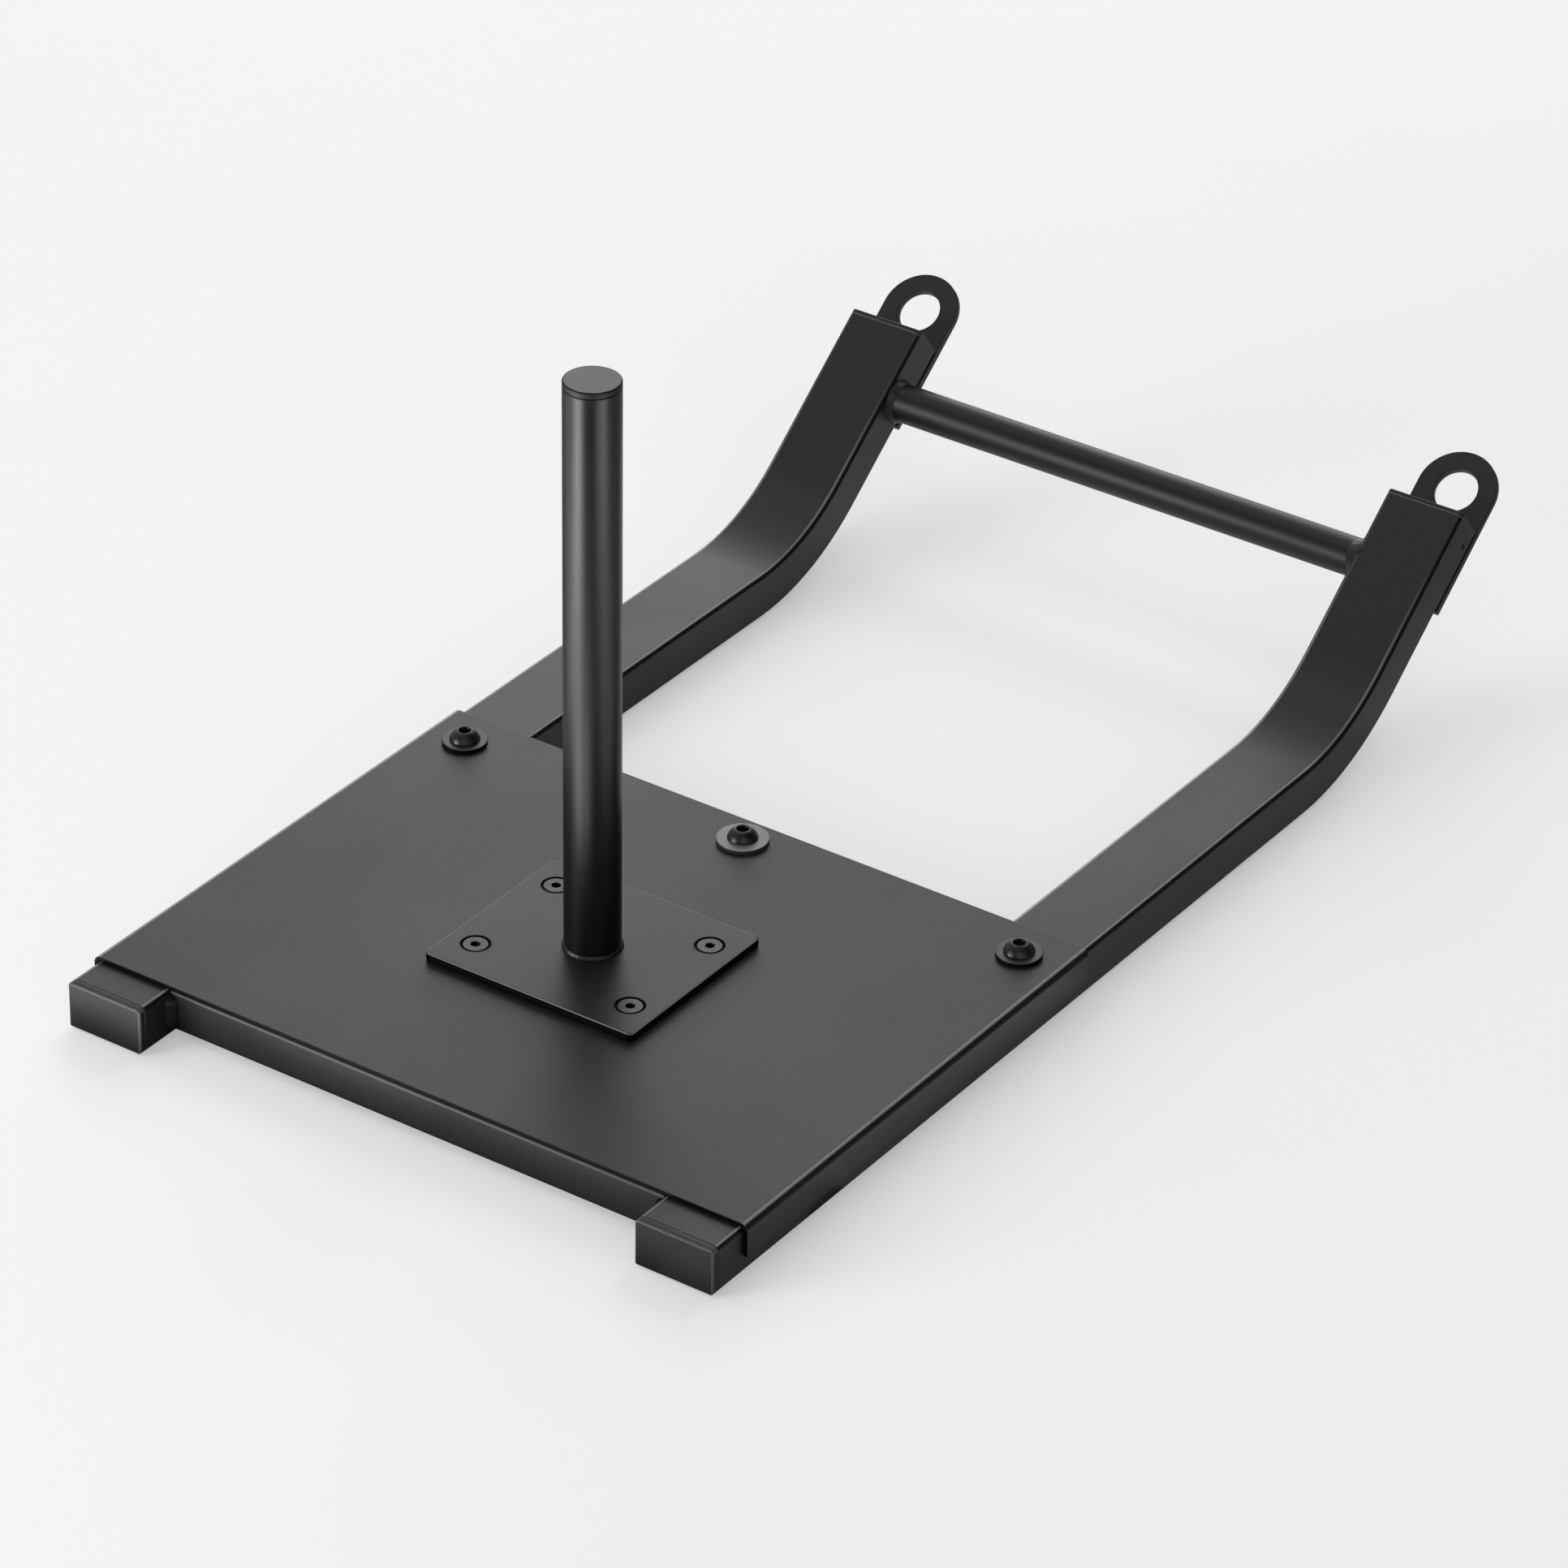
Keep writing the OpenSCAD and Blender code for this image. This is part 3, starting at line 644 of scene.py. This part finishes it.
def floor():
    s = 9.0
    mesh = bpy.data.meshes.new("floor")
    mesh.from_pydata([(-s, -s, 0), (s, -s, 0), (s, s, 0), (-s, s, 0)], [], [(0, 1, 2, 3)])
    obj = bpy.data.objects.new("floor", mesh)
    scene.collection.objects.link(obj)
    obj.location = (0, 0, -0.0006)
    mat, t = new_material("floor_pale")
    p = coordinates(t)
    soft = t.noise(p, 3.0, 3.0, 0.5)
    colour = t.mix(t.range(soft, 0.3, 0.7, 0.0, 1.0), (0.86, 0.86, 0.86, 1), (0.88, 0.88, 0.88, 1))
    # what the camera sees is pale; what the paint reflects is a greyer floor
    seen = t.n("ShaderNodeAddShader", {
        0: t.n("ShaderNodeBsdfDiffuse", {"Color": colour}),
        1: t.n("ShaderNodeEmission", {"Color": (1, 1, 1, 1), "Strength": FLOOR_LIFT}),
    })
    bounced = t.n("ShaderNodeBsdfDiffuse", {"Color": rgb(FLOOR_BOUNCE)})
    camera_ray = t.n("ShaderNodeLightPath").outputs["Is Camera Ray"]
    mixed = t.n("ShaderNodeMixShader", {0: camera_ray, 1: bounced, 2: seen})
    t.n("ShaderNodeOutputMaterial", {"Surface": mixed.outputs[0]})
    mesh.materials.append(mat)
    return obj


floor()


def softbox(name, where, aim, size, power):
    data = bpy.data.lights.new(name, "AREA")
    data.shape = "RECTANGLE"
    data.size, data.size_y = size
    data.energy = power
    obj = bpy.data.objects.new(name, data)
    scene.collection.objects.link(obj)
    d = Vector(where) - Vector(aim)
    obj.matrix_world = Matrix.Translation(where) @ d.to_track_quat("Z", "Y").to_matrix().to_4x4()
    return obj


# The camera stands this far round from the sled's near side
VIEW = math.radians(34.456)
TOWARD = Vector((math.sin(VIEW), -math.cos(VIEW), 0.0))
SIDE = Vector((math.cos(VIEW), math.sin(VIEW), 0.0))


def heading(turn, up):
    """A direction: degrees round from the camera to its right, degrees above the floor."""
    a, e = math.radians(turn), math.radians(up)
    return (TOWARD * math.cos(a) + SIDE * math.sin(a)) * math.cos(e) + Vector((0, 0, math.sin(e)))


# Soft white fields of the studio: degrees round, degrees up, sharpness, strength
FIELDS = [
    (0, 4, 12, 0.35), (45, 4, 12, 0.3), (180, 4, 12, 2.35), (315, 28, 12, 0.15),
    (180, 54, 12, 0.3), (240, 54, 12, 0.65), (0, 90, 12, 0.4), (180, 8, 45, 1.03),
    (296, 20, 60, 1.2), (250, 64, 60, 0.6), (146, 46, 80, 3.6),
    # for the other sides of the sled; the camera's view hardly mirrors these
    (0, 36, 14, 0.90), (35, 25, 14, 0.25), (300, 15, 14, 0.10), (235, 15, 16, 0.55), (110, 16, 16, 0.15),
]
# Softboxes: degrees round, height and size in metres, watts
BOXES = [(180, 1.3, 1.1, 5.9), (292, 0.35, 0.9, 20.6)]
# White cards flat on the floor, which the paint mirrors and the camera doesn't see. Each lies
# at a height of its own, because cards in one plane would hide each other:
# left, right, near, far in metres, brightness
CARDS = [
    (-0.675, -0.225, -0.675, -0.225, 0.86), (-0.225, 0.225, -0.225, 0.225, 0.21),
    (-0.225, 0.225, 0.225, 0.675, 0.33), (0.225, 0.675, -0.225, 0.225, 0.2),
    (-0.28, -0.02, -0.44, -0.34, 3.06), (-0.28, 0.28, -0.56, -0.44, 0.3),
    (-0.1, 0.1, -0.44, -0.34, 2.94), (-0.13, -0.02, -0.44, -0.34, 0.06),
    (0.02, 0.12, -0.44, -0.34, 0.5), (0.12, 0.2, -0.4, -0.335, 0.91),
    (-0.45, -0.18, -0.44, -0.3, 0.4), (0.0, 0.13, -0.39, -0.345, 0.47),
]
# The same, as strips pointing away from the post: degrees from the near side to the right,
# start and end of the strip from the post, width, brightness
STRIPS = [
    (-36.5, 0.36, 0.75, 0.3, 0.57), (67.5, 0.4, 0.8, 0.35, 2.16), (95.0, 0.2, 0.5, 0.25, 0.75),
    (180.0, 0.26, 0.46, 0.24, 0.13), (-15.0, 0.36, 0.8, 0.25, 6.41), (-28.0, 0.36, 0.8, 0.25, 2.76),
    (67.5, 0.19, 0.4, 0.2, 0.15), (80.0, 0.5, 0.9, 0.35, 2.11),
]


def card(name, matrix, size, brightness):
    data = bpy.data.lights.new(name, "AREA")
    data.shape = "RECTANGLE"
    data.size, data.size_y = size
    data.energy = math.pi * size[0] * size[1] * brightness
    obj = bpy.data.objects.new(name, data)
    scene.collection.objects.link(obj)
    obj.visible_camera = False
    obj.matrix_world = matrix
    return obj


def lights():
    for i, (turn, height, size, watts) in enumerate(BOXES):
        softbox("softbox_%d" % i, heading(turn, 0) * 2.1 + Vector((0, 0, height)), (0, 0, 0.1), (size, size), watts)
    for i, (x0, x1, y0, y1, brightness) in enumerate(CARDS):
        up = Matrix.Rotation(math.pi, 4, "X")
        up.translation = ((x0 + x1) / 2, (y0 + y1) / 2, -0.00010 - 0.00002 * i)
        card("card_%d" % i, up, (x1 - x0, y1 - y0), brightness)
    for i, (turn, start, end, width, brightness) in enumerate(STRIPS):
        a = math.radians(turn)
        along = Vector((math.sin(a), -math.cos(a), 0.0))
        down = Vector((0.0, 0.0, -1.0))
        m = Matrix((along.cross(down), along, down)).transposed().to_4x4()
        m.translation = Vector((foot[0], foot[1], -0.00011 - 0.00002 * i)) + along * ((start + end) / 2)
        card("strip_%d" % i, m, (width, end - start), brightness)


def world():
    w = bpy.data.worlds.new("studio")
    scene.world = w
    w.use_nodes = True
    t = Tree(w.node_tree)
    d = t.n("ShaderNodeTexCoord").outputs["Generated"]
    total = 0.0
    for turn, up, sharp, strength in FIELDS:
        close = t.vmath("DOT_PRODUCT", d, tuple(heading(turn, up)))
        field = t.math("EXPONENT", t.math("MULTIPLY", t.math("SUBTRACT", close, 1.0), float(sharp)))
        total = t.math("ADD", total, t.math("MULTIPLY", field, strength))
    bg = t.n("ShaderNodeBackground", {"Color": (1, 1, 1, 1), "Strength": total})
    t.n("ShaderNodeOutputWorld", {"Surface": bg.outputs[0]})


world()
lights()

scene.view_settings.view_transform = "Standard"
scene.view_settings.look = "None"
scene.view_settings.exposure = 0.0
scene.view_settings.gamma = 1.0
